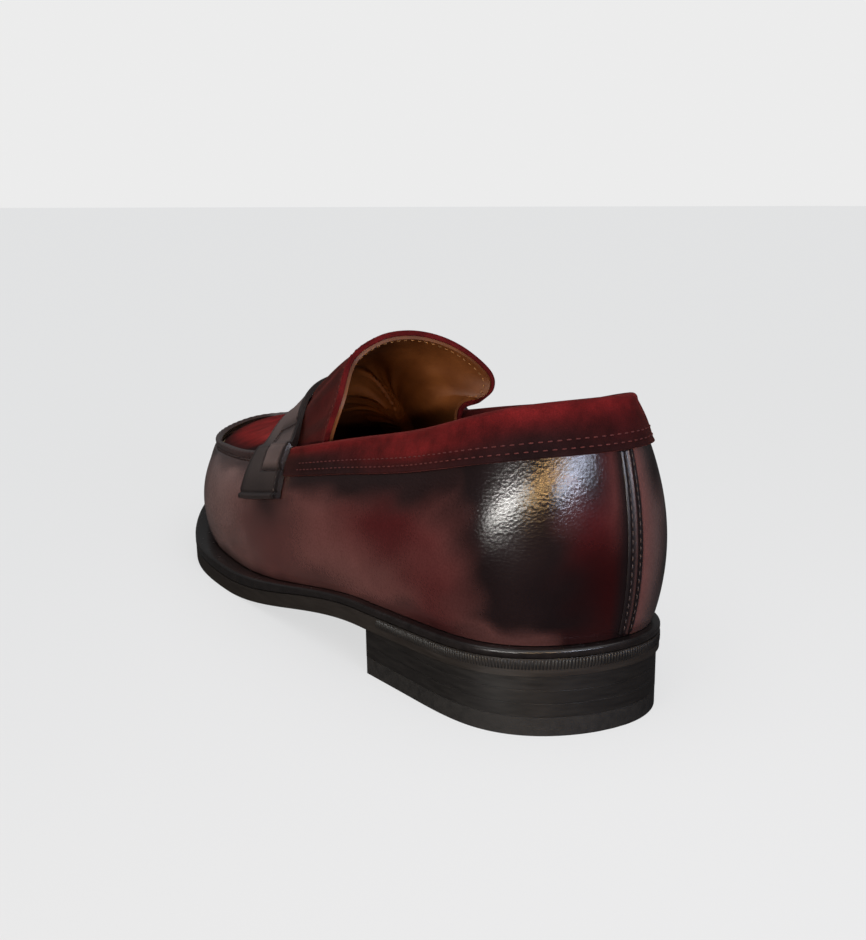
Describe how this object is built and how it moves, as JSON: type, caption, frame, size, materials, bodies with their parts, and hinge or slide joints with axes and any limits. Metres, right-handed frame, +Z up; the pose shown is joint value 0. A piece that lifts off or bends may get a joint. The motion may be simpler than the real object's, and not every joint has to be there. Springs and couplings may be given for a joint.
{
  "type": "penny loafer",
  "caption": "Left slip-on shoe with a moccasin toe, saddle strap over the instep, suede collar and tongue, leather sole and stacked low heel.",
  "frame": {"origin": "bottom centre of the bounding box, on the ground the shoe stands on", "axes": "+Z up, the toe points to -Y, +X is the outer side of the left foot"},
  "size_m": [0.0983, 0.301, 0.0998],
  "materials": {
    "wall_leather": "smooth, burnished, semi-gloss",
    "strap_leather": "smooth, dark, semi-gloss",
    "red_suede": "napped, matt",
    "lining_leather": "smooth, satin",
    "edge_leather": "stained and waxed, semi-gloss",
    "insole_leather": "plain, matt",
    "stiffener_board": "plain, matt",
    "cork": "granular, matt",
    "pad_foam": "matt",
    "shank_steel": "brushed",
    "nail_brass": "satin",
    "heel_rubber": "matt"
  },
  "bodies": {
    "root": {"outsole": "edge_leather", "welt": "edge_leather", "forepart_cork": "cork", "heel_seat_filler": "insole_leather", "shank": "shank_steel", "insole": "insole_leather", "heel_pad": "pad_foam", "sock_liner": "lining_leather", "top_lift": "heel_rubber", "heel_lift_1": "edge_leather", "heel_lift_2": "edge_leather", "heel_wedge_lift": "edge_leather", "side_wall": "wall_leather", "back_strip": "strap_leather", "heel_counter": "stiffener_board", "toe_puff": "stiffener_board", "quarter_lining": "lining_leather", "collar": "red_suede", "apron": "red_suede", "vamp_lining": "lining_leather", "tongue": "red_suede", "tongue_lining": "lining_leather", "saddle_strap": "strap_leather", "slot_backing": "strap_leather", "heel_nail_1": "nail_brass", "heel_nail_2": "nail_brass", "heel_nail_3": "nail_brass", "heel_nail_4": "nail_brass", "heel_nail_5": "nail_brass"}
  },
  "joints": []
}
